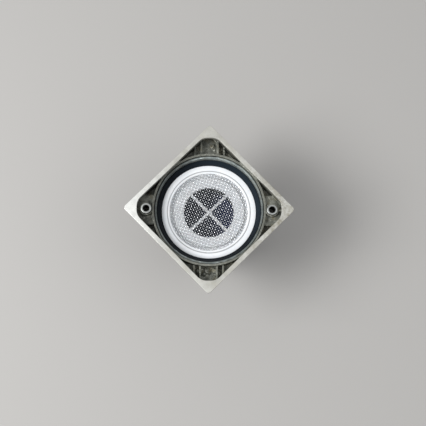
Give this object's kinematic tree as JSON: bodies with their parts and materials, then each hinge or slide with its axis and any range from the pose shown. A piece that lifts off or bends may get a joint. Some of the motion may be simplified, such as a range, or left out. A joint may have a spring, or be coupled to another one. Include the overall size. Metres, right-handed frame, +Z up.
{
  "type": "floor drain grate",
  "caption": "Square-rimmed floor drain with a turning frame, a telescopic riser and a lift-out trap insert that has a mesh strainer and a flap valve.",
  "frame": {"origin": "centre of the outlet's lower end, on the axis of the drain", "axes": "+Z up, out of the finished floor; the frame's sides lie along X and Y; +X runs from the axis towards the flap's hinge"},
  "size_m": [0.15, 0.15, 0.15],
  "materials": {
    "nickel_bronze": "worn cast nickel bronze, cream and ground smooth on the rim, dark grey-green inside",
    "riser_metal": "dull grey-green cast metal with dirt in the corners",
    "coated_iron": "black-grey dipped coating over a sand-cast skin",
    "zinc_steel": "zinc plated, slightly dulled",
    "plug_brass": "plain turned brass",
    "seal_rubber": "satin black-navy rubber",
    "flap_rubber": "damp navy rubber",
    "white_plastic": "smooth white moulded plastic",
    "steel_mesh": "bright woven stainless wire"
  },
  "bodies": {
    "base": {"drain_body": "coated_iron", "lip_seal": "seal_rubber", "seal_retainer": "coated_iron", "retainer_screw_1": "zinc_steel", "retainer_screw_2": "zinc_steel", "retainer_screw_3": "zinc_steel", "retainer_screw_4": "zinc_steel", "primer_plug": "plug_brass"},
    "riser_unit": {"riser": "riser_metal", "frame_gasket": "seal_rubber"},
    "top_frame": {"frame": "nickel_bronze", "screw_sleeve_right": "zinc_steel", "screw_sleeve_left": "zinc_steel"},
    "insert": {"insert_top": "white_plastic", "insert_tube": "white_plastic", "sealing_ring": "seal_rubber", "valve_seat": "white_plastic", "hinge_pin": "zinc_steel", "return_spring": "zinc_steel"},
    "flap": {"flap_plate": "white_plastic", "flap_seal": "flap_rubber", "flap_rivet": "zinc_steel"},
    "strainer": {"strainer_ring": "white_plastic", "strainer_mesh": "steel_mesh", "mesh_clamp_ring": "white_plastic"}
  },
  "joints": [
    {"name": "riser_telescope", "type": "slide", "parent": "base", "child": "riser_unit", "axis": [0, 0, 1], "range_m": [0, 0.03]},
    {"name": "frame_turn", "type": "hinge", "parent": "riser_unit", "child": "top_frame", "pos_m": [0, 0, 0.125], "axis": [0, 0, 1], "continuous": true},
    {"name": "insert_lift", "type": "slide", "parent": "riser_unit", "child": "insert", "axis": [0, 0, 1], "range_m": [0, 0.085]},
    {"name": "flap_swing", "type": "hinge", "parent": "insert", "child": "flap", "pos_m": [0.0405, 0, 0.0785], "axis": [0, -1, 0], "range_deg": [0, 75], "stiffness_Nm_per_rad": 0.01, "springref_deg": -85.94},
    {"name": "strainer_lift", "type": "slide", "parent": "insert", "child": "strainer", "axis": [0, 0, 1], "range_m": [0, 0.04]}
  ]
}
